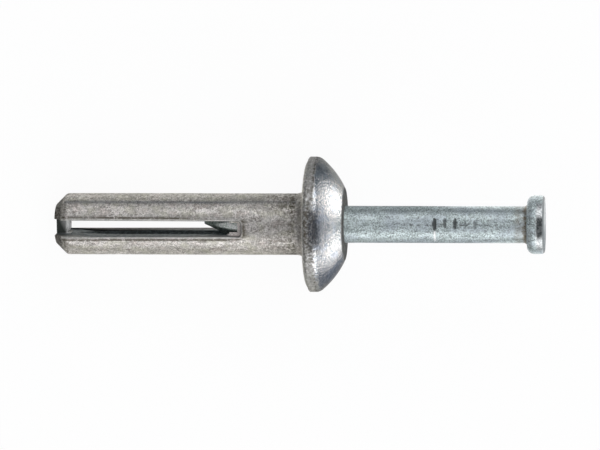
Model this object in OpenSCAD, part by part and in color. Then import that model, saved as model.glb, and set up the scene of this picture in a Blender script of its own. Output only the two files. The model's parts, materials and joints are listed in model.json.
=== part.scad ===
// Hammer drive anchor: a die-cast body with a mushroom head and a split shank,
// and the drive nail that is hammered through it to spread the shank in its hole.
//
// It is drawn as supplied, with the nail started in its bore, and lies as it comes
// to rest on a table: on the rim of the head and on the two lower slot edges at the
// tip. +X runs along the nail towards its head, +Z is up, the part is symmetric
// about Y = 0, and the origin is on the table under the middle of the part.
// All sizes are in millimetres.

/* [Shank] */
// Length of the shank, from the underside of the head to the tip
shank_l = 25.4; // [22:0.1:50]
// Diameter of the shank
shank_d = 6.15; // [5.4:0.01:8]
// Width of the 45 degree bevel round the tip
tip_bevel = 1.12; // [0.7:0.01:1.3]
// Radius where the bevel meets the shank
tip_round = 0.5; // [0.3:0.01:0.8]
// Radius where the bevel meets the end face
tip_face_round = 0.25; // [0.1:0.01:0.3]
// Radius of the cove under the head
cove_r = 1.3; // [0.4:0.01:1.5]

/* [Head] */
// Diameter of the mushroom head
head_d = 13.5; // [11:0.05:18]
// Height of the head, from its underside to the flat round the nail
head_h = 3.6; // [3:0.05:4.4]
// Radius of the dome
dome_r = 8.57; // [8:0.01:12]
// Diameter of the flat round the nail
flat_d = 7.1; // [6:0.05:7.6]
// Radius of the rim's front edge
rim_front_r = 1; // [0.6:0.05:1.2]
// Radius of the rim's back edge
rim_back_r = 0.22; // [0.1:0.01:0.4]

/* [Slot] */
// Width of the slot that splits the shank
slot_w = 1.58; // [1.2:0.01:2]
// Length of the slot, from the tip
slot_l = 18.8; // [15.5:0.1:19.5]
// Radius of the slot's inner corners, seen into the slot
slot_corner_r = 0.3; // [0.1:0.01:0.5]
// Width of the bevel along the slot's mouth
slot_lip = 0.12; // [0.04:0.01:0.15]
// Length of the shallow ramp that closes over the nail at the slot's inner end
ramp_l = 1.5; // [1:0.05:2]
// Slope of that ramp, in degrees
ramp_deg = 4.5; // [4:0.5:12]
// Radius between the ramp and the slot's end wall
ramp_r = 0.45; // [0.2:0.05:0.8]

/* [Tip web] */
// Length of the web that ties the legs together at the tip until it breaks
web_l = 1.6; // [0.8:0.05:2]
// Thickness of the web through the slot
web_t = 1.7; // [1.2:0.05:2]
// Depth of the web's outer face behind the tip
web_recess = 0.1; // [0.02:0.01:0.4]
// Radius of the web's inner edges
web_round = 0.6; // [0.2:0.05:0.6]
// Radius of the web's inner corners, seen into the slot
web_corner_r = 0.5; // [0.1:0.05:0.6]

/* [Bore] */
// Gap all round the nail in its bore
nail_clear = 0.02; // [0.01:0.01:0.05]
// Gap between the edges of the nail's point and the mouth of the narrow bore
seat_gap = 0.55; // [0.05:0.01:0.8]
// Diameter of the narrow bore between the legs, which the nail forces open
core_d = 2.7; // [2.2:0.05:3]
// Length over which the narrow bore tapers away towards the tip
core_taper_l = 4.2; // [2:0.1:6]
// Diameter where that taper ends
core_end_d = 1.5; // [1:0.05:1.5]

/* [Nail] */
// Diameter of the nail
nail_d = 3.68; // [3.3:0.01:4.45]
// How far the driven nail reaches past the tip of the shank
nail_past_tip = 3.2; // [1:0.1:6]
// How far the point of the undriven nail reaches into the slot
nail_in_slot = 3.9; // [3.5:0.1:5]
// Length of the nail's four-sided point
point_l = 5.4; // [3.6:0.1:6.5]
// Width of the blunt end of the point
point_end_w = 0.22; // [0.1:0.01:0.4]
// Angle of the point's upper flat from the top of the nail, in degrees
point_turn = 31; // [0:1:45]
// Diameter of the nail's head
nail_head_d = 5.82; // [5.4:0.01:7]
// Thickness of the nail's head
nail_head_t = 1.74; // [1.4:0.01:2]
// Radius under the nail's head, at its edge
nail_head_back_r = 0.7; // [0.3:0.05:0.75]
// Radius of the struck edge of the nail's head
nail_head_front_r = 0.22; // [0.1:0.01:0.4]
// Radius of the neck between the nail and its head
neck_r = 0.3; // [0.1:0.05:0.4]

/* [Grip marks] */
// Number of marks in each row that the heading machine's grips leave
grip_count = 5; // [3:1:7]
// Distance between marks
grip_pitch = 1.02; // [0.8:0.01:1.2]
// Distance from the underside of the nail's head to the nearest mark
grip_start = 5; // [2:0.1:8]
// Depth of a mark
grip_depth = 0.08; // [0.03:0.01:0.12]
// Radius of the ridge that presses a mark
grip_r = 0.2; // [0.15:0.01:0.3]
// Angle of the upper row of marks from the top of the nail, in degrees
grip_turn = 26; // [0:1:90]

/* [Hidden] */
$fn = 128;

SPARE = 1; // how far a cutting shape stands past what it cuts
SEAM_TURN = 52.5; // turns the seam of the body's round faces away from the slot
SHOULDER_DEG = 60; // slope of the shoulder where the bore narrows, from the axis

shank_r = shank_d / 2;
head_r = head_d / 2;
nail_r = nail_d / 2;
nail_head_r = nail_head_d / 2;
core_r = core_d / 2;
bore_r = nail_r + nail_clear;

// Stations along the axis. 0 is the underside of the head, and the tip is at -shank_l.
tip_x = -shank_l;
slot_end_x = tip_x + slot_l;
slot_arc = [slot_end_x - slot_corner_r, slot_w / 2 - slot_corner_r];
web_end_x = tip_x + web_recess + web_l;
web_arc = [web_end_x - web_corner_r, slot_w / 2 - web_corner_r];
nail_l = shank_l + head_h + nail_past_tip;
nail_tip_x = slot_end_x - nail_in_slot;
nail_neck_x = nail_tip_x + nail_l;
nail_end_x = nail_neck_x + nail_head_t;

// The point's flats open at flat_slope from the axis, and the edges between them at edge_slope.
flat_slope = (nail_r - point_end_w / 2) / point_l;
edge_slope = sqrt(2) * flat_slope;
// The edges are as wide as the narrow bore here, and its mouth lies just ahead of them.
point_touch_x = nail_tip_x + (core_r / sqrt(2) - point_end_w / 2) / flat_slope;
core_x = point_touch_x - seat_gap;
shoulder_x = core_x + (bore_r - core_r) / tan(SHOULDER_DEG);

// Rounded corners: each arc touches the two lines or arcs that it joins.
tip_arc = [shank_r - tip_round, tip_x + tip_bevel + tip_round * tan(22.5)];
tip_face_arc = [shank_r - tip_bevel - tip_face_round * tan(22.5), tip_x + tip_face_round];
rim_back_arc = [head_r - rim_back_r, rim_back_r];
dome_centre = [0, head_h - sqrt(pow(dome_r, 2) - pow(flat_d / 2, 2))];
rim_front_arc = [
    head_r - rim_front_r,
    dome_centre.y + sqrt(pow(dome_r - rim_front_r, 2) - pow(head_r - rim_front_r, 2))
];
dome_edge = dome_centre + (rim_front_arc - dome_centre) * dome_r / (dome_r - rim_front_r);

// At rest the axis leans so that the rim's back edge and the slot's lower edges at the
// tip both touch the table. The slot takes away the lowest line of the shank.
slot_mouth_w = slot_w + 2 * slot_lip;
slot_drop = shank_r - sqrt(pow(shank_r, 2) - pow(slot_mouth_w / 2, 2));
lip_z = shank_r - slot_drop - slot_lip;
rest_rise = rim_back_arc.x - tip_arc.x + slot_drop;
rest_run = rim_back_arc.y - tip_arc.y;
rest_deg = atan2(rest_rise, rest_run) - asin((tip_round - rim_back_r) / norm([rest_rise, rest_run]));
rest_z = rim_back_arc.x * cos(rest_deg) + rim_back_r * (1 - sin(rest_deg));
left_x = tip_x * cos(rest_deg) - (shank_r - tip_bevel) * sin(rest_deg);
right_x = nail_end_x * cos(rest_deg) + (nail_head_r - nail_head_front_r) * sin(rest_deg);

// Lays what is drawn along the axis down on the table
module at_rest() {
    translate([-(left_x + right_x) / 2, 0, rest_z]) rotate([0, -rest_deg, 0]) children();
}

// Turns an outline about the axis: its X is the radius, its Y the station along the axis
module turned(seam = 0) {
    rotate([seam, 0, 0]) rotate([0, 90, 0]) rotate_extrude() children();
}

module arc_at(centre, r) {
    translate(centre) circle(r);
}

// A point of an arc, by its direction from the arc's centre
function on_arc(centre, r, deg) = centre + r * [cos(deg), sin(deg)];

module shank_outline() {
    polygon([
        [0, tip_x],
        [tip_face_arc.x, tip_x],
        on_arc(tip_face_arc, tip_face_round, -45),
        on_arc(tip_arc, tip_round, -45),
        [shank_r, tip_arc.y],
        [shank_r, SPARE],
        [0, SPARE]
    ]);
    arc_at(tip_face_arc, tip_face_round);
    arc_at(tip_arc, tip_round);
}

module cove_outline() {
    difference() {
        translate([0, -cove_r]) square([shank_r + cove_r, cove_r + SPARE]);
        arc_at([shank_r + cove_r, -cove_r], cove_r);
    }
}

module head_outline() {
    intersection() {
        square([dome_edge.x, head_h]);
        arc_at(dome_centre, dome_r);
    }
    square([head_r - rim_back_r, rim_front_arc.y]);
    translate([0, rim_back_r]) square([head_r, rim_front_arc.y - rim_back_r]);
    arc_at(rim_back_arc, rim_back_r);
    arc_at(rim_front_arc, rim_front_r);
}

// The nail's bore, its shoulder, and the narrow bore between the legs
module bore_outline() {
    polygon([
        [0, head_h + SPARE],
        [bore_r, head_h + SPARE],
        [bore_r, shoulder_x],
        [core_r, core_x],
        [core_r, web_end_x + core_taper_l],
        [core_end_d / 2, web_end_x],
        [0, web_end_x]
    ]);
}

// The web seen from the side, in X and Z: its inner edges are rounded
module web_outline() {
    start_x = tip_x + web_recess;
    translate([start_x, -web_t / 2]) square([web_l - web_round, web_t]);
    translate([start_x, web_round - web_t / 2]) square([web_l, web_t - 2 * web_round]);
    for (side = [-1, 1])
        arc_at([web_end_x - web_round, side * (web_t / 2 - web_round)], web_round);
}

// The web seen into the slot, in X and Y
module web_plan_outline() {
    wide = slot_w + 2 * SPARE;
    translate([tip_x, -wide / 2]) square([web_arc.x - tip_x, wide]);
    translate([tip_x, -web_arc.y]) square([web_end_x - tip_x, 2 * web_arc.y]);
    for (side = [-1, 1])
        arc_at([web_arc.x, side * web_arc.y], web_corner_r);
}

// One half of the slot from the side: full depth, then the ramp and its round up the end wall
module slot_side_half() {
    ramp_x = slot_end_x - ramp_l;
    ramp_z = bore_r - (ramp_l - ramp_r) * tan(ramp_deg);
    arc = [slot_end_x - ramp_r, bore_r + ramp_r / cos(ramp_deg)];
    polygon([
        [tip_x - SPARE, -SPARE / 4],
        [ramp_x, -SPARE / 4],
        [ramp_x, ramp_z],
        on_arc(arc, ramp_r, ramp_deg - 90),
        [slot_end_x, arc.y],
        [slot_end_x, shank_r + SPARE],
        [tip_x - SPARE, shank_r + SPARE]
    ]);
    arc_at(arc, ramp_r);
}

// The slot seen into its mouth, in X and Y, with rounded inner corners
module slot_plan_outline() {
    start_x = tip_x - SPARE;
    translate([start_x, -slot_w / 2]) square([slot_arc.x - start_x, slot_w]);
    translate([start_x, -slot_arc.y]) square([slot_end_x - start_x, 2 * slot_arc.y]);
    for (side = [-1, 1])
        arc_at([slot_arc.x, side * slot_arc.y], slot_corner_r);
}

// The bevel round one mouth of the slot: along both walls, round both corners, across the end
module slot_bevel() {
    start_x = tip_x - SPARE;
    for (side = [0, 1])
        mirror([0, side]) {
            translate([start_x, slot_w / 2, lip_z])
                rotate([45, 0, 0]) cube([slot_arc.x - start_x, SPARE, SPARE]);
            translate([slot_arc.x, slot_arc.y, lip_z])
                cylinder(h = SPARE, r1 = slot_corner_r, r2 = slot_corner_r + SPARE);
        }
    translate([slot_end_x, -slot_arc.y, lip_z])
        rotate([0, -45, 0]) cube([SPARE, 2 * slot_arc.y, SPARE]);
}

module slot_cut() {
    deep = 2 * (shank_r + SPARE);
    difference() {
        union() {
            intersection() {
                rotate([90, 0, 0]) linear_extrude(deep, center = true)
                    union() {
                        slot_side_half();
                        mirror([0, 1]) slot_side_half();
                    }
                linear_extrude(deep, center = true) slot_plan_outline();
            }
            slot_bevel();
            mirror([0, 0, 1]) slot_bevel();
        }
        intersection() {
            rotate([90, 0, 0]) linear_extrude(deep, center = true) web_outline();
            linear_extrude(deep, center = true) web_plan_outline();
        }
    }
}

module anchor_body() {
    color([0.66, 0.65, 0.63])
        at_rest()
            difference() {
                turned(SEAM_TURN)
                    difference() {
                        union() {
                            shank_outline();
                            cove_outline();
                            head_outline();
                        }
                        bore_outline();
                    }
                slot_cut();
            }
}

// The nail without its point's flats: shank, neck and head
module nail_outline() {
    neck_arc = [nail_r + neck_r, nail_neck_x - neck_r];
    back_arc = [nail_head_r - nail_head_back_r, nail_neck_x + nail_head_back_r];
    front_arc = [nail_head_r - nail_head_front_r, nail_end_x - nail_head_front_r];
    translate([0, nail_tip_x]) square([nail_r, nail_l + SPARE / 2]);
    difference() {
        translate([0, neck_arc.y]) square([neck_arc.x, neck_r + SPARE / 2]);
        arc_at(neck_arc, neck_r);
    }
    translate([0, nail_neck_x]) square([back_arc.x, nail_head_t]);
    translate([0, back_arc.y]) square([nail_head_r, front_arc.y - back_arc.y]);
    translate([0, nail_neck_x + SPARE / 2]) square([front_arc.x, nail_head_t - SPARE / 2]);
    arc_at(back_arc, nail_head_back_r);
    arc_at(front_arc, nail_head_front_r);
}

// What the pinching dies cut away to leave a four-sided point
module point_cuts() {
    flat_deg = atan(flat_slope);
    for (turn = [0:90:270])
        rotate([turn - point_turn, 0, 0])
            translate([nail_tip_x, 0, point_end_w / 2])
                rotate([0, -flat_deg, 0])
                    translate([-nail_d, -nail_d, 0]) cube([point_l * 3, 2 * nail_d, nail_d]);
}

// Two opposite rows of short marks across the nail
module grip_cuts() {
    for (row = [0, 180], i = [0:grip_count - 1])
        rotate([row - grip_turn, 0, 0])
            translate([nail_neck_x - grip_start - i * grip_pitch, 0, nail_r + grip_r - grip_depth])
                rotate([90, 0, 0]) cylinder(h = nail_d, r = grip_r, center = true);
}

module drive_nail() {
    color([0.72, 0.77, 0.76])
        at_rest()
            difference() {
                turned() nail_outline();
                point_cuts();
                grip_cuts();
            }
}

anchor_body();
drive_nail();
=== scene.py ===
"""Hammer drive anchor: a die-cast body with a split shank, and the drive nail that is started in it.

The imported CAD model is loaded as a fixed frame. Each of its two solids is then replaced by a finer mesh with
a procedural material. The camera, floor and lamps are placed in the frame, in metres. The meshes are made in
the part's own axes, in millimetres, and laid in the frame afterwards: u runs along the axis from the
underside of the mushroom head towards the nail's head, v is the frame's Y, and w is square to both, so the
slot's mouths face +w and -w.
"""
import json
import math
from types import SimpleNamespace

import bpy
import numpy as np
from mathutils import Matrix, Vector, kdtree, noise


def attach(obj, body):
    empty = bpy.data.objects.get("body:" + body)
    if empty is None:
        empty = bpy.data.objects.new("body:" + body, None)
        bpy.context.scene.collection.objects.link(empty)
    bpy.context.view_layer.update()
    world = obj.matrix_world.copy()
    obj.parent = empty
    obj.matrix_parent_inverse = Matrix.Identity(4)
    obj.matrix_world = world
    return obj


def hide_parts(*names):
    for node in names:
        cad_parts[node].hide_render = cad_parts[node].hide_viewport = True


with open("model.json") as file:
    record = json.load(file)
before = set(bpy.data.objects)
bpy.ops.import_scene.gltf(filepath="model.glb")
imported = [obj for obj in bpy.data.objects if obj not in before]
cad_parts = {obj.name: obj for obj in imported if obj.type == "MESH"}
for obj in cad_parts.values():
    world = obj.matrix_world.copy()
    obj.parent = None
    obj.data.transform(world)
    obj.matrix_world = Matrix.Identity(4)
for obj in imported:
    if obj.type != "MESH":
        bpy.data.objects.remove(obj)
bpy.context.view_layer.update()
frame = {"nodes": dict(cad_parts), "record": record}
scene = bpy.context.scene
scene.view_settings.view_transform = "Standard"
MM = 0.001


def add_object(name, data):
    """A new object in the scene."""
    thing = bpy.data.objects.new(name, data)
    scene.collection.objects.link(thing)
    return thing


def axes_matrix(x, y, z, origin):
    """The matrix that lays a thing along three directions at a place."""
    return Matrix(tuple(zip((*x, 0), (*y, 0), (*z, 0), (*origin, 1))))


class Graph:
    """The shader nodes of a material or world. A socket, a number or a colour goes in at any input."""

    def __init__(self, owner):
        owner.use_nodes = True
        self.owner, self.nodes, self.links = owner, owner.node_tree.nodes, owner.node_tree.links
        self.nodes.clear()

    def add(self, kind, inputs, **settings):
        """A node with its settings and, by name or number, its inputs."""
        node = self.nodes.new("ShaderNode" + kind)
        for name, value in settings.items():
            setattr(node, name, value)
        for key, value in inputs.items():
            socket = node.inputs[key]
            if isinstance(value, bpy.types.NodeSocket):
                self.links.new(value, socket)
            elif socket.type == "RGBA":
                socket.default_value = (*value, 1)
            else:
                socket.default_value = value
        return node

    def attribute(self, name, output="Fac"):
        return self.add("Attribute", {}, attribute_name=name).outputs[output]

    def attributes(self, *names):
        return [self.attribute(name) for name in names]

    def math(self, kind, a, b, clamp=False):
        return self.add("Math", {0: a, 1: b}, operation=kind, use_clamp=clamp).outputs[0]

    def plus(self, a, b):
        return self.math("ADD", a, b)

    def less(self, a, b):
        return self.math("SUBTRACT", a, b, clamp=True)

    def times(self, a, b):
        return self.math("MULTIPLY", a, b)

    def most(self, a, b, clamp=False):
        return self.math("MAXIMUM", a, b, clamp)

    def noise(self, place, scale, detail, rough, stretch=None):
        if stretch:
            place = self.add("Mapping", {"Vector": place, "Scale": stretch}).outputs[0]
        inputs = {"Vector": place, "Scale": scale, "Detail": detail, "Roughness": rough}
        return self.add("TexNoise", inputs).outputs["Fac"]

    def ramp(self, value, low, high, start=0.0, end=1.0):
        """Smooth step of a value from low to high, giving start to end."""
        inputs = dict(enumerate((value, low, high, start, end)))
        return self.add("MapRange", inputs, interpolation_type="SMOOTHSTEP").outputs[0]

    def mix(self, factor, a, b):
        """Between two colours."""
        return self.add("Mix", {0: factor, 6: a, 7: b}, data_type="RGBA").outputs[2]

    def blend(self, factor, a, b):
        """Between two numbers."""
        return self.add("Mix", {0: factor, 2: a, 3: b}).outputs[0]

    def mix_shader(self, factor, a, b):
        return self.add("MixShader", {0: factor, 1: a, 2: b}).outputs[0]

    def color_shader(self, kind, color):
        """A diffuse, emission or background shader of one colour."""
        return self.add(kind, {"Color": color}).outputs[0]

    def metal(self, color, roughness, metallic, bump, specular):
        """Ends a material in a principled shader; bump is its height, strength and distance."""
        height, strength, distance = bump
        normal = self.add("Bump", {"Height": height, "Strength": strength, "Distance": distance}).outputs[0]
        inputs = {"Base Color": color, "Roughness": roughness, "Metallic": metallic, "Normal": normal}
        shader = self.add("BsdfPrincipled", {**inputs, "Specular IOR Level": specular})
        return self.finish(shader.outputs[0])

    def finish(self, shader, output="OutputMaterial"):
        self.add(output, {"Surface": shader})
        return self.owner


# ---------------------------------------------------------------------------
# Camera: the photo's view, from above the part, a little towards the tip and towards +Y

CAMERA_LEAN, CAMERA_SIDE, CAMERA_ROLL = 3.21, 9.4, -0.79  # degrees
CAMERA_DISTANCE, LENS, SENSOR = 427.1, 257.603, 36  # mm
AIM_HEIGHT, AIM_RIGHT, AIM_UP = 7, -0.041, -0.001  # mm: the point looked at, above the table


def make_camera():
    lean, side, roll = (math.radians(angle) for angle in (CAMERA_LEAN, CAMERA_SIDE, CAMERA_ROLL))
    back = Vector((-math.sin(lean) * math.cos(side), math.sin(side), math.cos(lean) * math.cos(side)))
    up = Vector((0, 1, 0))
    up = (up - back * up.dot(back)).normalized()
    right = up.cross(back)
    right, up = (right * math.cos(roll) + up * math.sin(roll), up * math.cos(roll) - right * math.sin(roll))
    target = Vector((0, 0, AIM_HEIGHT * MM)) + right * (AIM_RIGHT * MM) + up * (AIM_UP * MM)
    camera = add_object("camera", bpy.data.cameras.new("camera"))
    camera.matrix_world = axes_matrix(right, up, back, target + back * (CAMERA_DISTANCE * MM))
    camera.data.sensor_width, camera.data.lens = SENSOR, LENS
    camera.data.clip_start, camera.data.clip_end = 0.01, 10
    scene.camera = camera


make_camera()

# ---------------------------------------------------------------------------
# Studio

FLOOR_HALF = 1.5  # m
CAMERA_WHITE = 0.93  # how much of the floor is plain white to the camera; the rest holds the part's shadow
WHITE, PALE, SWEEP_GREY, ROOM = (1, 1, 1), (0.86, 0.86, 0.86), (0.34, 0.34, 0.33), (0.06, 0.068, 0.086)


def floor_material():
    """White to the camera, pale for the light it passes on, and a grey sweep to reflections, so that the cards
    decide what the metal shows."""
    g = Graph(bpy.data.materials.new("floor"))
    path = g.add("LightPath", {})
    plain = g.color_shader("BsdfDiffuse", PALE)
    grey = g.color_shader("Emission", SWEEP_GREY)
    white = g.color_shader("Emission", WHITE)
    seen = g.times(path.outputs["Is Camera Ray"], CAMERA_WHITE)
    lit = g.mix_shader(path.outputs["Is Glossy Ray"], plain, grey)
    return g.finish(g.mix_shader(seen, lit, white))


def make_floor():
    mesh = bpy.data.meshes.new("floor")
    half = FLOOR_HALF
    corners = [(-half, -half, 0), (half, -half, 0), (half, half, 0), (-half, half, 0)]
    mesh.from_pydata(corners, [], [(0, 1, 2, 3)])
    mesh.materials.append(floor_material())
    return add_object("floor", mesh)


def make_world():
    """White to the camera, and a dim room to the part."""
    scene.world = bpy.data.worlds.new("studio")
    g = Graph(scene.world)
    path = g.add("LightPath", {})
    room = g.color_shader("Background", ROOM)
    white = g.color_shader("Background", WHITE)
    g.finish(g.mix_shader(path.outputs["Is Camera Ray"], room, white), "OutputWorld")


WATTS = 4  # of a lamp of strength 1, per square metre
PANEL_DISTANCE = 400  # mm


def towards(azimuth, zenith):
    """The direction at an azimuth, from +X to +Y, and a zenith angle."""
    a, z = math.radians(azimuth), math.radians(zenith)
    return Vector((math.cos(a) * math.sin(z), math.sin(a) * math.sin(z), math.cos(z)))


def softbox(name, azimuth, zenith, distance, width, height, strength):
    """A rectangular lamp that faces the part; sizes in metres."""
    away = towards(azimuth, zenith)
    lamp = bpy.data.lights.new(name, "AREA")
    lamp.shape = "RECTANGLE"
    lamp.size, lamp.size_y = width, height
    lamp.energy = strength * WATTS * width * height
    thing = add_object(name, lamp)
    thing.location = away * distance
    thing.rotation_mode = "QUATERNION"
    thing.rotation_quaternion = away.to_track_quat("Z", "Y")
    return thing


def card(name, corners, color):
    """A card that only reflections see, as black, grey and white cards stand round metal in a studio."""
    mesh = bpy.data.meshes.new(name)
    mesh.from_pydata([Vector(corner) * MM for corner in corners], [], [range(len(corners))])
    g = Graph(bpy.data.materials.new(name))
    mesh.materials.append(g.finish(g.color_shader("Emission", color)))
    thing = add_object(name, mesh)
    thing.visible_camera = thing.visible_diffuse = thing.visible_shadow = False
    thing.visible_transmission = thing.visible_volume_scatter = False


def flat_card(name, height, corners, color):
    """A card just above the floor, through (x, y) corners in millimetres."""
    card(name, [(x, y, height) for x, y in corners], color)


def wall_card(name, start, end, top, color):
    """An upright card that stands just above the floor, from one (x, y) corner to another."""
    bottom = 0.1
    card(name, [(*start, bottom), (*end, bottom), (*end, top), (*start, top)], color)


def panel(name, azimuth, zenith, width, height, color):
    """A card that faces the part; sizes in degrees as the part sees it."""
    out = towards(azimuth, zenith)
    across = Vector((-math.sin(math.radians(azimuth)), math.cos(math.radians(azimuth)), 0))
    x = across * math.tan(math.radians(width / 2))
    y = out.cross(across) * math.tan(math.radians(height / 2))
    corners = [(out + x * i + y * j) * PANEL_DISTANCE for i, j in ((-1, -1), (1, -1), (1, 1), (-1, 1))]
    card(name, corners, color)


floor = make_floor()
make_world()

softbox("softbox_back", azimuth=72, zenith=55, distance=0.6, width=0.62, height=0.3, strength=1.85)
softbox("softbox_front", azimuth=-80, zenith=55, distance=0.6, width=0.66, height=0.32, strength=1.6)
softbox("softbox_low", azimuth=-70, zenith=73, distance=0.7, width=1.1, height=0.3, strength=0.8)
# diffuse light from above, which no reflection shows
fill = softbox("fill_top", azimuth=0, zenith=0, distance=0.9, width=1.2, height=1.2, strength=1.2)
fill.visible_glossy = False

# white floor and wall ahead of the head, with a grey strip in the middle and dark floor on both sides
AHEAD_WHITE, BLUE_GREY = (1.86, 1.83, 1.81), (0.1, 0.12, 0.14)
minus_side = [(19, -12), (37, -29), (104, -82), (300, -220)]
plus_side = [(300, 170), (104, 60), (37, 22), (20, 13), (14, 7), (17, -2)]
flat_card("card_ahead", 0.2, minus_side + plus_side, AHEAD_WHITE)
flat_card("card_mid", 0.3, [(18, -5), (100, -15), (300, -30), (300, -8), (100, -3), (18, -2)], BLUE_GREY)
wall_card("card_end", (300, -220), (300, 170), 12, AHEAD_WHITE)
panel("panel_end", azimuth=0, zenith=73, width=48, height=20, color=(0.15, 0.18, 0.22))
panel("panel_back", azimuth=38, zenith=66, width=24, height=16, color=(0.6, 0.63, 0.66))
flat_card("card_left", 0.1, [(7, 8), (300, 8), (300, 300), (-20, 300)], BLUE_GREY)
flat_card("card_right", 0.1, [(6, -8), (12, -3), (300, -150), (200, -290), (6, -14)], (0.13, 0.145, 0.175))
# dark floor towards +Y of the shank and up to the horizon, paler and warmer towards -Y
flat_card("card_back", 0.2, [(-300, 14), (4, 14), (-40, 300), (-300, 300)], (0.05, 0.055, 0.05))
wall_card("card_wall", (-300, 290), (240, 290), 60, (0.07, 0.08, 0.09))
flat_card("card_front", 0.2, [(-300, -12), (4, -12), (60, -300), (-300, -300)], (0.42, 0.415, 0.36))
# pale floor right under the shank and under the nail
flat_card("card_under", 0.1, [(-60, -11), (1, -11), (1, 13), (-60, 13)], (0.7, 0.7, 0.67))
# dark side beyond the tip
wall_card("card_tip", (-70, -200), (-70, 200), 90, (0.05, 0.05, 0.05))

# ---------------------------------------------------------------------------
# The part's own axes and its sizes, in millimetres, as in part.scad

NAIL_END = 23.44  # u of the struck face, which the record's mount places in the frame
STRIKE = next(mount for mount in frame["record"]["mounts"] if mount["name"] == "strike_face")
AXIS = Vector(STRIKE["axis"]).normalized()
SIDE = Vector((0, 1, 0))
ORIGIN = Vector(STRIKE["pos_m"]) - AXIS * (NAIL_END * MM)
LAY = axes_matrix(*([part * MM for part in axis] for axis in (AXIS, SIDE, AXIS.cross(SIDE))), ORIGIN)

TIP = -25.4
SHANK_R, TIP_BEVEL, TIP_ROUND, TIP_FACE_ROUND, COVE_R = 3.075, 1.12, 0.5, 0.25, 1.3
HEAD_R, HEAD_H, DOME_R, FLAT_R, RIM_FRONT_R, RIM_BACK_R = 6.75, 3.6, 8.57, 3.55, 1.0, 0.22
SLOT_W, SLOT_END, SLOT_CORNER_R, LIP = 1.58, -6.6, 0.3, 0.12
WEB_T = 1.7
NAIL_R, NAIL_TIP, NAIL_NECK, NECK_R = 1.84, -10.5, 21.7, 0.3
NAIL_HEAD_R, NAIL_HEAD_BACK_R = 2.91, 0.7
POINT_L, POINT_HALF, POINT_TURN = 5.4, 0.11, math.radians(31)
# where the meshes differ from part.scad
SLOT_SHIFT, SLOT_DRAFT = 0.06, 0.03  # mm to one side, and mm on each wall at each end
NAIL_HEAD_FRONT_R = 0.32
GRIP_FROM, GRIP_PITCH, GRIP_TURN, GRIP_R = 5.12, 1.0, math.radians(10), 0.24
GRIP_DEPTH, GRIP_SHARES = 0.12, (0.7, 0.6, 1.0, 0.9, 1.2)  # each mark has its share of the depth


def arc(centre, r, start, end, step):
    """Points (u, r) along an arc; angles in degrees from +r towards +u."""
    n = max(2, int(abs(math.radians(end - start)) * r / step) + 1)
    return [
        (centre[0] + r * math.sin(t), centre[1] + r * math.cos(t))
        for t in (math.radians(start + (end - start) * i / n) for i in range(n + 1))
    ]


def run(a, b, step):
    """Points along a straight line, without its last point."""
    n = max(1, int(math.dist(a, b) / step + 0.5))
    return [(a[0] + (b[0] - a[0]) * i / n, a[1] + (b[1] - a[1]) * i / n) for i in range(n)]


def noise_at(points, scale, seed, octaves=1):
    """Smooth noise of about -1 to 1 at each point."""
    shift = Vector((seed * 7.31, seed * 3.77, seed * 5.13))
    if octaves == 1:
        return np.array([noise.noise(Vector(p) * scale + shift) for p in points])
    return np.array([noise.fractal(Vector(p) * scale + shift, 1.0, 2.0, octaves) for p in points])


def uneven_skin(points, layers):
    """How far each point rises; each layer is its height, scale, seed and octaves."""
    return sum(height * noise_at(points, scale, seed, octaves) for height, scale, seed, octaves in layers)


def bump_at(x, centre, width):
    """1 at the centre, falling smoothly to 0 over about twice the width."""
    return np.exp(-(((x - centre) / width) ** 2))


def smooth_step(x, low, high):
    """0 below low, 1 above high."""
    t = np.clip((x - low) / (high - low), 0, 1)
    return t * t * (3 - 2 * t)


def turned_degrees(place):
    """The angle of each point round the axis, from +w towards +v."""
    return np.degrees(np.arctan2(place[:, 1], place[:, 2]))


def vertices_of(mesh):
    place = np.empty(len(mesh.vertices) * 3)
    mesh.vertices.foreach_get("co", place)
    return place.reshape(-1, 3)


def add_attributes(mesh, **fields):
    """Fields that the material reads: a number or a vector at each vertex."""
    for name, values in fields.items():
        kind, member = ("FLOAT_VECTOR", "vector") if values.ndim == 2 else ("FLOAT", "value")
        layer = mesh.attributes.new(name, kind, "POINT")
        layer.data.foreach_set(member, values.astype(np.float32).ravel())


def lay_piece(name, mesh, cad, sharp):
    """Lays a mesh in the frame as a piece, inside the box that its construction fills. Edges of more than
    sharp degrees stay sharp."""
    mesh.transform(LAY)
    box = np.array([cad.matrix_world @ v.co for v in cad.data.vertices])
    mesh.vertices.foreach_set("co", np.clip(vertices_of(mesh), box.min(0), box.max(0)).ravel())
    mesh.polygons.foreach_set("use_smooth", np.ones(len(mesh.polygons), bool))
    mesh.set_sharp_from_angle(angle=math.radians(sharp))
    return add_object(name, mesh)


# ---------------------------------------------------------------------------
# The casting: an even mesh of the CAD node, with its turned faces put back on their true outline

VOXEL, QUICK_VOXEL = 0.062, 0.13
KEPT_SHARE = 0.25  # of the voxel mesh's faces
SKIN = 0.1  # vertices this near to the outline are on the outside
CAST_NOISE = ((0.010, 0.45, 1, 1), (0.006, 1.9, 2, 3), (0.003, 6.0, 3, 1))  # waves, dents and grain
CAST_SETBACK = 0.012  # keeps the uneven skin inside the construction
BEAD_HEIGHT = 0.022  # of the bead along the slot's mouths, and the depth of the furrow behind it
TUMBLED_AWAY = 0.75  # share of the cast skin's unevenness that the dome has lost


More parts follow.
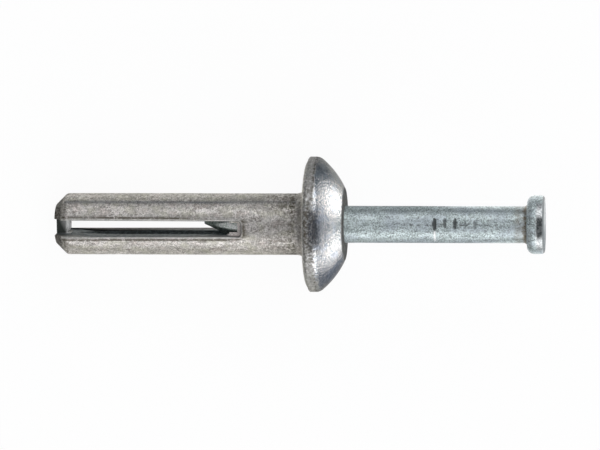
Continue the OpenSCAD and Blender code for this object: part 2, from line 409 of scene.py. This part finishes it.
def body_outline(step):
    """The body's outline turned about the axis, tip to flat, as (u, r) points."""
    k = math.tan(math.radians(22.5))
    face = (TIP + TIP_FACE_ROUND, SHANK_R - TIP_BEVEL - TIP_FACE_ROUND * k)
    tip = (TIP + TIP_BEVEL + TIP_ROUND * k, SHANK_R - TIP_ROUND)
    dome_u = HEAD_H - math.sqrt(DOME_R**2 - FLAT_R**2)
    front_r = HEAD_R - RIM_FRONT_R
    front = (dome_u + math.sqrt((DOME_R - RIM_FRONT_R) ** 2 - front_r**2), front_r)
    turn = math.degrees(math.atan2(front[0] - dome_u, front[1]))
    end = math.degrees(math.atan2(HEAD_H - dome_u, FLAT_R))
    tip_round = arc(tip, TIP_ROUND, -45, 0, step)
    cove = arc((-COVE_R, SHANK_R + COVE_R), COVE_R, 180, 90, step)
    points = run((TIP, 0), (TIP, face[1]), step)
    points += arc(face, TIP_FACE_ROUND, -90, -45, step)
    points += run(points[-1], tip_round[0], step)[1:]
    points += tip_round
    points += run((tip[0], SHANK_R), (-COVE_R, SHANK_R), step)[1:]
    points += cove
    points += run(cove[-1], (0, HEAD_R - RIM_BACK_R), step)[1:]
    points += arc((RIM_BACK_R, HEAD_R - RIM_BACK_R), RIM_BACK_R, -90, 0, step)
    points += run((RIM_BACK_R, HEAD_R), (front[0], HEAD_R), step)[1:]
    points += arc(front, RIM_FRONT_R, 0, turn, step)
    points += arc((dome_u, 0), DOME_R, turn, end, step)[1:]
    points += run((HEAD_H, FLAT_R), (HEAD_H, NAIL_R), step)[1:]
    return np.array(points)


def slot_half(u):
    """Half the slot's width, which the draft of the casting closes towards the inner end."""
    return SLOT_W / 2 + SLOT_DRAFT - 2 * SLOT_DRAFT * np.clip((u - TIP) / (SLOT_END - TIP), 0, 1)


def mouth_distance(u, v):
    """How far a point of the surface lies outside the slot's wall, seen into the slot."""
    du = np.maximum(u - (SLOT_END - SLOT_CORNER_R), 0)
    dv = np.maximum(np.abs(v + SLOT_SHIFT) - (slot_half(u) - SLOT_CORNER_R), 0)
    return np.hypot(du, dv) - SLOT_CORNER_R


def even_mesh(cad):
    """An evenly meshed copy of a CAD node, in the part's own axes."""
    mesh = cad.data.copy()
    mesh.transform(LAY.inverted() @ cad.matrix_world)
    blank = add_object("blank", mesh)
    remesh = blank.modifiers.new("remesh", "REMESH")
    remesh.mode = "VOXEL"
    remesh.voxel_size = VOXEL
    thin = blank.modifiers.new("thin", "DECIMATE")
    thin.ratio = KEPT_SHARE
    mesh = bpy.data.meshes.new_from_object(blank.evaluated_get(bpy.context.evaluated_depsgraph_get()))
    bpy.data.objects.remove(blank)
    return mesh


def draft_slot(u, v, w):
    """Gives the slot its draft and its shift to one side; on the round a point keeps its radius."""
    near = smooth_step(1.5 - np.abs(v), 0, 0.55) * smooth_step(SLOT_END + 0.5 - u, 0, 0.5)
    spread = np.sign(v) * (slot_half(u) - SLOT_W / 2) * np.minimum(np.abs(v) / 0.6, 1)
    new_v = v + (spread - SLOT_SHIFT) * near
    r = np.hypot(v, w)
    new_w = np.sign(w) * np.sqrt(np.maximum(r**2 - new_v**2, 0))
    return new_v, np.where(r > SHANK_R - 0.07, new_w, w)


def slope_web(u, v, w):
    """Slopes the web's inner end back below, and rounds one of its corners more."""
    web = (np.abs(v) < slot_half(u) - 0.02) & (u < TIP + 2.6)
    back = 0.5 * np.clip((WEB_T / 2 - w) / WEB_T, 0, 1) + 0.3 * smooth_step(-v, 0.2, 0.85)
    return np.where(web, u - back * smooth_step(u, TIP + 0.5, TIP + 1.5), u)


def nearest_on_outline(u, r):
    """For each point: the nearest point of the outline, the way out from there, and the distance."""
    outline = body_outline(0.02)
    along = np.gradient(outline, axis=0)
    along /= np.maximum(np.hypot(along[:, 0], along[:, 1]), 1e-9)[:, None]
    tree = kdtree.KDTree(len(outline))
    for i, (a, b) in enumerate(outline):
        tree.insert((a, b, 0), i)
    tree.balance()
    found = [tree.find((a, b, 0)) for a, b in zip(u, r)]
    index = np.array([f[1] for f in found])
    gap = np.array([f[2] for f in found])
    out = np.stack([-along[index, 1], along[index, 0]], 1)
    return outline[index], out, gap


def shape_casting(place):
    """Shapes the even mesh, and returns what its attributes are made from."""
    u, v, w = place.T.copy()
    v, w = draft_slot(u, v, w)
    u = slope_web(u, v, w)

    # vertices of the turned faces go back on the outline, except along the slot's bevelled mouth
    r = np.hypot(v, w)
    near, out, gap = nearest_on_outline(u, r)
    in_shank = u < -COVE_R + 0.2
    turned_face = (gap < 0.055) & ~(in_shank & (mouth_distance(u, v) < LIP + 0.03))
    u = np.where(turned_face, near[:, 0], u)
    new_r = np.where(turned_face, near[:, 1], r)
    v, w = v * new_r / np.maximum(r, 1e-6), w * new_r / np.maximum(r, 1e-6)
    place = np.stack([u, v, w], 1)

    # the uneven cast skin, smoother on the tumbled dome, with a bead and a furrow along the slot's mouths
    dome = smooth_step(u, 0.95, 1.25) * (1 - smooth_step(u, 3.52, 3.58))
    rise = uneven_skin(place, CAST_NOISE) * (1 - TUMBLED_AWAY * dome)
    mouth = mouth_distance(u, v)
    bead = bump_at(mouth, LIP + 0.02, 0.07) - bump_at(mouth, 0.36, 0.11)
    rise += BEAD_HEIGHT * bead * in_shank * (u > TIP + 1.0)
    rise = np.where(gap < SKIN, rise - CAST_SETBACK, 0)
    grow = out[:, 1] / np.maximum(new_r, 1e-6)
    place = place + np.stack([out[:, 0], grow * v, grow * w], 1) * rise[:, None]
    return SimpleNamespace(place=place, u=u, v=v, w=w, r=r, gap=gap, mouth=mouth, in_shank=in_shank)


def paint_casting(mesh, at):
    """Attributes that say where each finish, soiling and wear of the casting lies, and where light and shade
    are painted.
    """
    u, v, w, r, gap, mouth, in_shank = at.u, at.v, at.w, at.r, at.gap, at.mouth, at.in_shank
    turned = turned_degrees(at.place)
    border = noise_at(at.place, 1.3, 4, 2)  # makes the edges of the stains uneven
    inside = gap > 0.09
    outside = gap < SKIN
    near_mouth = in_shank & (np.abs(w) > 2.2)
    head = smooth_step(u, -0.3, 0.0) * (r > SHANK_R + 0.3)
    polish = smooth_step(u + 0.08 * border, 0.7, 1.12) * (1 - smooth_step(u, 3.52, 3.57)) * ~inside

    # dirt in the cove, round the bevel, under the head, on the rim, and more towards the head; painted shade
    # makes it stronger round the top of the head's back and rim
    cove = bump_at(u, -1.45, 0.4) * (r > SHANK_R - 0.1)
    bevel = bump_at(u, TIP + 1.2, 0.2)
    under_head = head * (0.4 + 0.55 * bump_at(turned, 6, 34))
    shank = 0.16 + 0.22 * smooth_step(u + 0.8 * border, -6.0, -2.5)
    rim = bump_at(u + 0.05 * border, 0.85, 0.16 + 0.25 * bump_at(turned, 3, 18)) * (r > 5.9)
    dirt = np.maximum.reduce([0.95 * cove, 0.6 * bevel, under_head, shank]) * (1 - 0.9 * polish)
    dirt = np.maximum(dirt, 0.9 * rim) * ~inside

    # along the slot: a worn lip with a painted highlight, dirt and painted shade in the furrow behind it, and
    # a dark line round the inner corners
    bare = bump_at(mouth, LIP / 2, 0.08) * near_mouth * (u > TIP + 0.8)
    furrow = np.clip(1.25 * bump_at(mouth, 0.32, 0.1), 0, 1) * near_mouth * (u > TIP + 0.9) * (mouth > 0.1)
    corner = bump_at(mouth, 0.02, 0.06) * near_mouth * smooth_step(u, SLOT_END - 0.7, SLOT_END - 0.35)

    # painted dark reflections on the head: one over the middle of its edge, where it faces up, and one at each
    # end
    middle = smooth_step(u, 0.3, 0.6) * (1 - smooth_step(u, 1.15, 1.8)) * bump_at(turned + 7 * border, 4, 19)
    ends = smooth_step(u, 0.7, 1.0) * (1 - smooth_step(u + 0.5 * border, 1.0, 2.6))
    ends *= smooth_step(np.abs(turned), 52, 74)

    # painted dark reflection: a darker line along the shank, on its +v side
    on_round = np.hypot(at.place[:, 1], at.place[:, 2]) > SHANK_R - 0.12
    seam = bump_at(turned + 1.5 * border, 54, 3.6) * in_shank * on_round * (0.75 + 0.35 * border)

    # inside the slot: painted shade on the far half of each wall, and painted light on the ledge at its end
    reach = -1.75 + 2.3 * np.clip((u - TIP - 1.6) / 4.4, 0, 1)
    deep = (gap > 0.02) * (np.abs(v + 0.25) < 0.65) * (u < SLOT_END - 2.0)
    deep = deep * smooth_step(reach - w, -0.12, 0.12)
    # painted light: the ledge is painted pale
    ledge = inside * smooth_step(u, SLOT_END - 1.7, SLOT_END - 1.1) * (u < SLOT_END + 0.3)
    web = inside & (u < TIP + 1.9) & (np.abs(v + SLOT_SHIFT) < slot_half(u) - 0.03)

    add_attributes(
        mesh,
        place=at.place,
        polish=polish,
        dirt=dirt,
        furrow=furrow,
        corner=corner,
        rim=head,
        # painted shade: the end round the bevel is darker
        tip=smooth_step(TIP + 1.42 - u, 0, 0.9) * outside,
        stain=np.maximum(0.9 * middle, 0.7 * ends) * outside,
        seat=smooth_step(u + 0.02 * border, 3.5, 3.56),
        bare=bare,
        band=np.clip(seam, 0, 1),
        wall=inside & (u < SLOT_END + 0.3) & (v < 0.4),
        deep=deep,
        ledge=ledge,
        web=web,
        nub=web * smooth_step(u, TIP + 1.0, TIP + 1.14),
    )


def make_casting():
    cad = frame["nodes"]["anchor_body"]
    mesh = even_mesh(cad)
    at = shape_casting(vertices_of(mesh))
    mesh.vertices.foreach_set("co", at.place.ravel())
    paint_casting(mesh, at)
    return lay_piece("casting", mesh, cad, 50)


casting = make_casting()
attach(casting, "root")
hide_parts("anchor_body")

# ---------------------------------------------------------------------------
# The nail: its outline turned about the axis, then its point and grip marks pressed in

TURNS, QUICK_TURNS = 200, 128  # vertices round the nail
NAIL_STEP, QUICK_NAIL_STEP = 0.11, 0.2
NAIL_NOISE, NAIL_SETBACK = ((0.004, 1.4, 11, 2), (0.0025, 6.0, 12, 1)), 0.005
POINT_SHARPNESS = 26  # a higher power gives sharper edges between the point's flats
POINT_LEAN = 0.15


def nail_outline(step):
    """The nail's outline, from point to struck face, as (u, r) points."""
    neck = (NAIL_NECK - NECK_R, NAIL_R + NECK_R)
    back = (NAIL_NECK + NAIL_HEAD_BACK_R, NAIL_HEAD_R - NAIL_HEAD_BACK_R)
    front = (NAIL_END - NAIL_HEAD_FRONT_R, NAIL_HEAD_R - NAIL_HEAD_FRONT_R)
    points = run((NAIL_TIP, NAIL_R), (SLOT_END, NAIL_R), 0.06)
    points += run((SLOT_END, NAIL_R), (neck[0], NAIL_R), step)
    points += arc(neck, NECK_R, 180, 90, 0.055)
    points += run(points[-1], (NAIL_NECK, back[1]), 0.08)[1:]
    points += arc(back, NAIL_HEAD_BACK_R, -90, 0, 0.06)
    points += run((back[0], NAIL_HEAD_R), (front[0], NAIL_HEAD_R), 0.06)[1:]
    points += arc(front, NAIL_HEAD_FRONT_R, 0, 90, 0.04)
    points += run((NAIL_END, front[1]), (NAIL_END, 0.1), 0.15)[1:]
    return np.array(points)


def cut_point(u, r, t):
    """Four flats, with edges that the dies leave a little round."""
    flat = POINT_HALF + (NAIL_R - POINT_HALF) / POINT_L * (u - NAIL_TIP)
    turn = t + POINT_TURN - math.pi / 2  # 0 where a flat faces
    power = POINT_SHARPNESS
    square = flat / (np.abs(np.cos(turn)) ** power + np.abs(np.sin(turn)) ** power) ** (1 / power)
    r = np.where(u < 6, np.minimum(r, square), r)
    return np.where(u < NAIL_TIP + 0.001, square * 0.72, r)


def press_marks(u, r, t):
    """Two rows of grip marks: bars pressed across the nail. Returns the radii, and how deep in a mark each
    vertex is."""
    marks = np.zeros_like(r)
    for row in (0, math.pi):
        for i, share in enumerate(GRIP_SHARES):
            centre = NAIL_NECK - GRIP_FROM - i * GRIP_PITCH + 0.05 * math.sin(7 * i + row)
            depth = GRIP_DEPTH * share
            facing = np.cos(t - (math.pi / 2 + row - GRIP_TURN + 0.06 * math.sin(5 * i + 2)))
            d = u - centre
            height = NAIL_R + GRIP_R - depth - np.sqrt(np.maximum(GRIP_R**2 - d**2, 0))
            in_mark = (np.abs(d) < GRIP_R) & (facing > 0.5)
            cut = np.where(in_mark, height / np.maximum(facing, 0.5), np.inf)
            marks = np.maximum(marks, smooth_step(r - cut, 0.0, 0.05) * share)
            r = np.minimum(r, cut)
    return r, marks


def tube_faces(rows, turns):
    """Quads between rings of vertices, and a fan at each end round one of the two last vertices."""
    ring = [(j, (j + 1) % turns) for j in range(turns)]
    first, last, top = rows * turns, rows * turns + 1, (rows - 1) * turns
    faces = [(a + j, a + k, a + turns + k, a + turns + j) for a in range(0, top, turns) for j, k in ring]
    return faces + [(first, k, j) for j, k in ring] + [(last, top + j, top + k) for j, k in ring]


def paint_nail(mesh, place, marks):
    """Attributes that say where each finish, soiling and wear of the nail lies, and where light and shade are
    painted.
    """
    u, r = place[:, 0], np.hypot(place[:, 1], place[:, 2])
    turned = turned_degrees(place)
    border = noise_at(place, 1.3, 14, 2)

    # a painted highlight: a white glint on the deepest mark's raised lip
    lip = bump_at(u, NAIL_NECK - GRIP_FROM - 4 * GRIP_PITCH + 0.02, 0.09)
    glint = lip * smooth_step(turned, -60, -50) * (1 - smooth_step(turned, -16, -8))

    # the head's side is rubbed bright in front and behind; its corner is grey and its face dull
    rubbed = smooth_step(u + 0.1 * border, NAIL_END - 0.95, NAIL_END - 0.6)
    facing = np.abs(np.cos(np.radians(turned - 3 + 6 * border)))
    face = smooth_step(u, NAIL_END - 0.24, NAIL_END - 0.08)
    corner = smooth_step(r, NAIL_HEAD_R - 0.36, NAIL_HEAD_R - 0.24)

    # a painted dark reflection on the side of the head round its top, a brown neck, specks in a line between
    # the marks, and a darker line that is a painted dark reflection
    spot = np.clip(2 * bump_at(turned + 5 * border, 2, 17), 0, 1)
    spot *= smooth_step(u, NAIL_END - 0.8, NAIL_END - 0.65)
    spot *= 1 - smooth_step(u, NAIL_END - 0.14, NAIL_END - 0.04)
    neck = bump_at(u + 0.1 * border, NAIL_NECK - 0.15, 0.3) * (r < 2.3)
    neck += 0.45 * bump_at(u, NAIL_NECK - 0.9, 0.35)
    specks = bump_at(turned + 4 * border, 7, 7) * (u > 8.5) * (u < NAIL_NECK - 0.6)
    # painted dark reflection: a darker line along the side that faces +v
    line = bump_at(turned + 2 * border, 56, 9) * (u > HEAD_H - 0.4) * (u < NAIL_NECK)

    # a painted highlight on the point's flat that faces up; the rest of the point is darkened as painted shade
    point = smooth_step(-u, -SLOT_END - 0.4, -SLOT_END + 0.2)
    clean = smooth_step(u + 0.25 * border, -9.4, -8.4) * smooth_step(turned, -13, -9)
    clean *= 1 - smooth_step(turned + 8 * border, 12, 24)

    add_attributes(
        mesh,
        place=place,
        marks=marks,
        glint=glint,
        polish=rubbed * smooth_step(facing, 0.5, 0.72) * (1 - 0.9 * face),
        edge=face * (0.5 + 0.5 * corner),
        neck=np.clip(neck, 0, 1) * (u > 15),
        band=np.clip(line * (0.8 + 0.4 * border), 0, 1),
        specks=specks,
        stain=spot,
        point=point,
        clean=point * clean,
        under=point * smooth_step(-turned, 12, 17),
    )


def make_nail():
    turns = TURNS
    outline = nail_outline(NAIL_STEP)
    u, r = (np.repeat(column[:, None], turns, 1) for column in outline.T)
    t = np.repeat(np.arange(turns)[None] * 2 * math.pi / turns, len(outline), 0)
    r, marks = press_marks(u, cut_point(u, r, t), t)

    place = np.stack([u, r * np.cos(t), r * np.sin(t)], 2).reshape(-1, 3)
    # the point leans a little to one side, as cut points do
    place[:, 1] += POINT_LEAN * smooth_step(-place[:, 0], 8.2, 10.5)
    # the drawn skin is a little uneven, but not where it lies in the bore
    rise = uneven_skin(place, NAIL_NOISE) - NAIL_SETBACK
    rise *= (place[:, 0] > SLOT_END + 11.0) | (place[:, 0] < SLOT_END)
    place[:, 1:] *= (1 + rise / np.maximum(np.hypot(place[:, 1], place[:, 2]), 0.3))[:, None]
    place = np.concatenate([place, [[NAIL_TIP, 0, 0], [NAIL_END, 0, 0]]])

    mesh = bpy.data.meshes.new("nail")
    mesh.from_pydata(place, [], tube_faces(len(outline), turns))
    paint_nail(mesh, place, np.append(marks.ravel(), [0, 0]))
    return lay_piece("nail", mesh, frame["nodes"]["drive_nail"], 35)


nail = make_nail()
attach(nail, "root")
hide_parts("drive_nail")

# ---------------------------------------------------------------------------
# Materials. Noise scales are per millimetre. Both skins are only partly metallic where they are dull.

FINE_SCALE, GRAIN_SCALE = 7.0, 2.6
DULL_METAL, SHINY_METAL = 0.75, 1.0  # casting
PLATE_METAL, RUBBED_METAL = 0.62, 0.9  # nail
CAST_GRAIN_DEPTH, PLATE_GRAIN_DEPTH = 0.000045, 0.00003  # m

# Colours of the casting; two of them where a noise goes from the dark one to the pale one
CAST_SKIN = (0.29, 0.266, 0.242), (1.0, 0.962, 0.928)
CAST_GREY, CAST_OLIVE, CAST_PINK = (0.50, 0.49, 0.46), (0.62, 0.61, 0.48), (0.66, 0.57, 0.53)
CAST_SEAM, CAST_TIP, CAST_RIM = (0.15, 0.17, 0.195), (0.035, 0.032, 0.028), (0.47, 0.50, 0.53)
TUMBLED_SKIN, TUMBLED_BLUE = ((0.5, 0.56, 0.61), (1.0, 0.975, 0.955)), (0.74, 0.80, 0.90)
BARE_LIP = (0.86, 0.85, 0.82)
SLOT_WALL, SLOT_DEEP = ((0.12, 0.145, 0.16), (0.22, 0.265, 0.29)), (0.028, 0.031, 0.033)
SLOT_LEDGE, SLOT_GRIME = (0.80, 0.74, 0.71), (0.16, 0.17, 0.17)
WEB_DARK, WEB_NUB = (0.05, 0.056, 0.052), ((0.80, 0.81, 0.79), (1.0, 1.0, 1.0))
CAST_DIRT, CAST_STAIN = (0.11, 0.1, 0.08), (0.05, 0.058, 0.075)
SLOT_CORNER, SEAT_DARK = (0.1, 0.1, 0.095), (0.06, 0.065, 0.062)

# Colours of the nail
PLATE_SKIN = (0.285, 0.335, 0.335), (0.75, 0.845, 0.85)
PLATE_BLUE, PLATE_LINE = (0.55, 0.61, 0.68), (0.15, 0.18, 0.19)
POINT_DIM, POINT_CLEAN = ((0.10, 0.125, 0.115), (0.30, 0.35, 0.325)), ((0.55, 0.66, 0.6), (1.0, 1.0, 1.0))
POINT_BELOW = (0.07, 0.085, 0.08), (0.30, 0.35, 0.32)
HEAD_RUBBED, HEAD_EDGE = ((0.46, 0.48, 0.49), (0.86, 0.88, 0.88)), (0.2, 0.22, 0.225)
PLATE_DIRT, NECK_BROWN, GLINT_WHITE = (0.06, 0.068, 0.068), (0.22, 0.185, 0.13), (1.0, 1.0, 1.0)


def zinc():
    """The casting: dull, mottled and soiled, with painted shade, light and dark reflections, and a tumbled
    head.
    """
    g = Graph(bpy.data.materials.new("zinc"))
    place = g.attribute("place", "Vector")
    polish, dirt_zone, stain, seat, rim, tip, band = g.attributes(
        "polish", "dirt", "stain", "seat", "rim", "tip", "band"
    )
    furrow, corner, bare, wall, deep, ledge, web, nub = g.attributes(
        "furrow", "corner", "bare", "wall", "deep", "ledge", "web", "nub"
    )
    fine = g.noise(place, FINE_SCALE, 3, 0.6)
    grain = g.noise(place, GRAIN_SCALE, 4, 0.65)
    streaks = g.noise(place, 1.6, 3, 0.6, stretch=(0.35, 1, 1))
    patches = g.noise(place, 0.6, 2, 0.5)
    tint = g.noise(place, 1.1, 2, 0.5, stretch=(0.7, 1, 1))
    spots = g.noise(place, 3.0, 4, 0.75)
    tone = g.plus(g.plus(g.times(fine, 0.5), g.times(grain, 0.3)), g.times(streaks, 0.2))

    # dull skin: warm grey, with greyer, olive and pink patches
    dull = g.mix(g.ramp(tone, 0.39, 0.6), *CAST_SKIN)
    dull = g.mix(g.ramp(patches, 0.4, 0.62, 0, 0.35), dull, CAST_GREY)
    dull = g.mix(g.ramp(tint, 0.48, 0.66, 0, 0.32), dull, CAST_OLIVE)
    dull = g.mix(g.ramp(tint, 0.46, 0.3, 0, 0.32), dull, CAST_PINK)
    # a painted dark reflection in a line along the shank, painted shade on the end, and the cooler rim
    dull = g.mix(g.times(band, 0.9), dull, CAST_SEAM)
    dull = g.mix(g.times(tip, g.ramp(tone, 0.42, 0.58, 1.0, 0.8)), dull, CAST_TIP)
    dull = g.mix(g.times(rim, 0.4), dull, CAST_RIM)

    # tumbled head, with a fine grain and bluer patches, and the worn lips of the slot, with a painted
    # highlight
    bright = g.mix(g.ramp(fine, 0.4, 0.54), *TUMBLED_SKIN)
    bright = g.mix(g.ramp(tint, 0.5, 0.66, 0, 0.5), bright, TUMBLED_BLUE)
    color = g.mix(polish, dull, bright)
    color = g.mix(bare, color, BARE_LIP)

    # inside the slot: blue-grey walls, black painted shade in the deep part, a ledge painted pale as painted
    # light, and some grime
    inner = g.mix(g.ramp(grain, 0.4, 0.6), *SLOT_WALL)
    inner = g.mix(deep, inner, SLOT_DEEP)
    inner = g.mix(ledge, inner, SLOT_LEDGE)
    inner = g.mix(g.ramp(tone, 0.42, 0.56, 0.45, 0), inner, SLOT_GRIME)
    color = g.mix(wall, color, inner)
    # the web, darkened as painted shade, with its inner end painted paler as painted light
    color = g.mix(web, color, g.mix(nub, WEB_DARK, g.mix(g.ramp(tone, 0.42, 0.58), *WEB_NUB)))

    # brown dirt with some painted shade, blue-black painted dark reflections, and the dark face round the nail
    dirt = g.math("MULTIPLY", dirt_zone, g.ramp(spots, 0.37, 0.59, 0.0, 1.1), clamp=True)
    dirt = g.most(dirt, g.times(furrow, g.ramp(spots, 0.36, 0.5, 0.42, 1.15)), clamp=True)
    color = g.mix(dirt, color, CAST_DIRT)
    color = g.mix(g.times(stain, g.ramp(fine, 0.44, 0.56, 1.0, 0.5)), color, CAST_STAIN)
    color = g.mix(corner, color, SLOT_CORNER)
    color = g.mix(g.times(seat, g.ramp(spots, 0.32, 0.64, 0.95, 0.6)), color, SEAT_DARK)

    shine = g.most(polish, g.times(bare, 0.35))
    dull_rough = g.ramp(grain, 0.3, 0.7, 0.5, 0.36)
    shiny_rough = g.ramp(fine, 0.35, 0.65, 0.2, 0.13)
    rough = g.most(g.blend(shine, dull_rough, shiny_rough), deep)
    metallic = g.less(g.blend(shine, DULL_METAL, SHINY_METAL), g.times(dirt, 0.4))
    metallic = g.less(metallic, g.times(g.most(ledge, web), 0.6))
    metallic = g.less(metallic, deep)
    metallic = g.less(metallic, g.times(seat, 0.7))
    height = g.plus(g.times(fine, 0.9), g.times(grain, 0.6))
    return g.metal(color, rough, metallic, (height, g.blend(polish, 0.6, 1.0), CAST_GRAIN_DEPTH), specular=0.0)


def zinc_plate():
    """The nail: a greenish drawn and plated skin."""
    g = Graph(bpy.data.materials.new("zinc_plate"))
    place = g.attribute("place", "Vector")
    polish, edge, marks, glint, specks, stain = g.attributes(
        "polish", "edge", "marks", "glint", "specks", "stain"
    )
    neck, band, point, clean, under = g.attributes("neck", "band", "point", "clean", "under")
    fine = g.noise(place, FINE_SCALE, 3, 0.6)
    drawn = g.noise(place, GRAIN_SCALE, 4, 0.65, stretch=(0.35, 1, 1))
    patches = g.noise(place, 0.8, 2, 0.5, stretch=(0.5, 1, 1))
    spots = g.noise(place, 3.6, 4, 0.75, stretch=(0.7, 1, 1))
    tone = g.plus(g.times(fine, 0.67), g.times(drawn, 0.33))

    # the skin, with bluer patches and a darker line that is a painted dark reflection
    color = g.mix(g.ramp(tone, 0.395, 0.59), *PLATE_SKIN)
    color = g.mix(g.ramp(patches, 0.42, 0.62, 0, 0.38), color, PLATE_BLUE)
    color = g.mix(g.times(band, 0.45), color, PLATE_LINE)

    # the point: darkened as painted shade, with one painted highlight, and darker painted shade below
    dim = g.mix(g.ramp(tone, 0.42, 0.56), *POINT_DIM)
    color = g.mix(point, color, g.mix(clean, dim, g.mix(g.ramp(tone, 0.42, 0.54), *POINT_CLEAN)))
    color = g.mix(under, color, g.mix(g.ramp(tone, 0.44, 0.58), *POINT_BELOW))

    # the rubbed side of the head
    color = g.mix(polish, color, g.mix(g.ramp(tone, 0.4, 0.58), *HEAD_RUBBED))

    # dirt in spots, in the marks and in a line between them, little of it on the rubbed head and the point;
    # then the painted dark reflection on the head
    dirt = g.most(g.ramp(spots, 0.56, 0.66, 0, 0.75), g.times(marks, g.ramp(spots, 0.3, 0.5, 0.6, 1.0)))
    dirt = g.most(dirt, g.times(specks, g.ramp(spots, 0.5, 0.6, 0, 0.9)))
    dirt = g.math("MULTIPLY", dirt, g.blend(g.most(polish, point), 1.0, 0.25), clamp=True)
    dirt = g.most(dirt, g.times(stain, g.ramp(spots, 0.44, 0.54, 1.2, 0.8)), clamp=True)
    color = g.mix(dirt, color, PLATE_DIRT)
    color = g.mix(g.times(neck, g.ramp(spots, 0.35, 0.6, 0.3, 1.0)), color, NECK_BROWN)
    color = g.mix(glint, color, GLINT_WHITE)
    color = g.mix(edge, color, HEAD_EDGE)

    rough = g.blend(polish, g.ramp(tone, 0.35, 0.65, 0.56, 0.46), 0.4)
    metallic = g.less(g.blend(polish, PLATE_METAL, RUBBED_METAL), g.times(dirt, 0.4))
    metallic = g.less(metallic, g.times(g.plus(point, clean), 0.4))
    metallic = g.less(metallic, g.times(edge, 0.6))
    return g.metal(color, rough, metallic, (tone, 0.5, PLATE_GRAIN_DEPTH), specular=0.5)


for piece, skin in ((casting, zinc()), (nail, zinc_plate())):
    piece.data.materials.clear()
    piece.data.materials.append(skin)
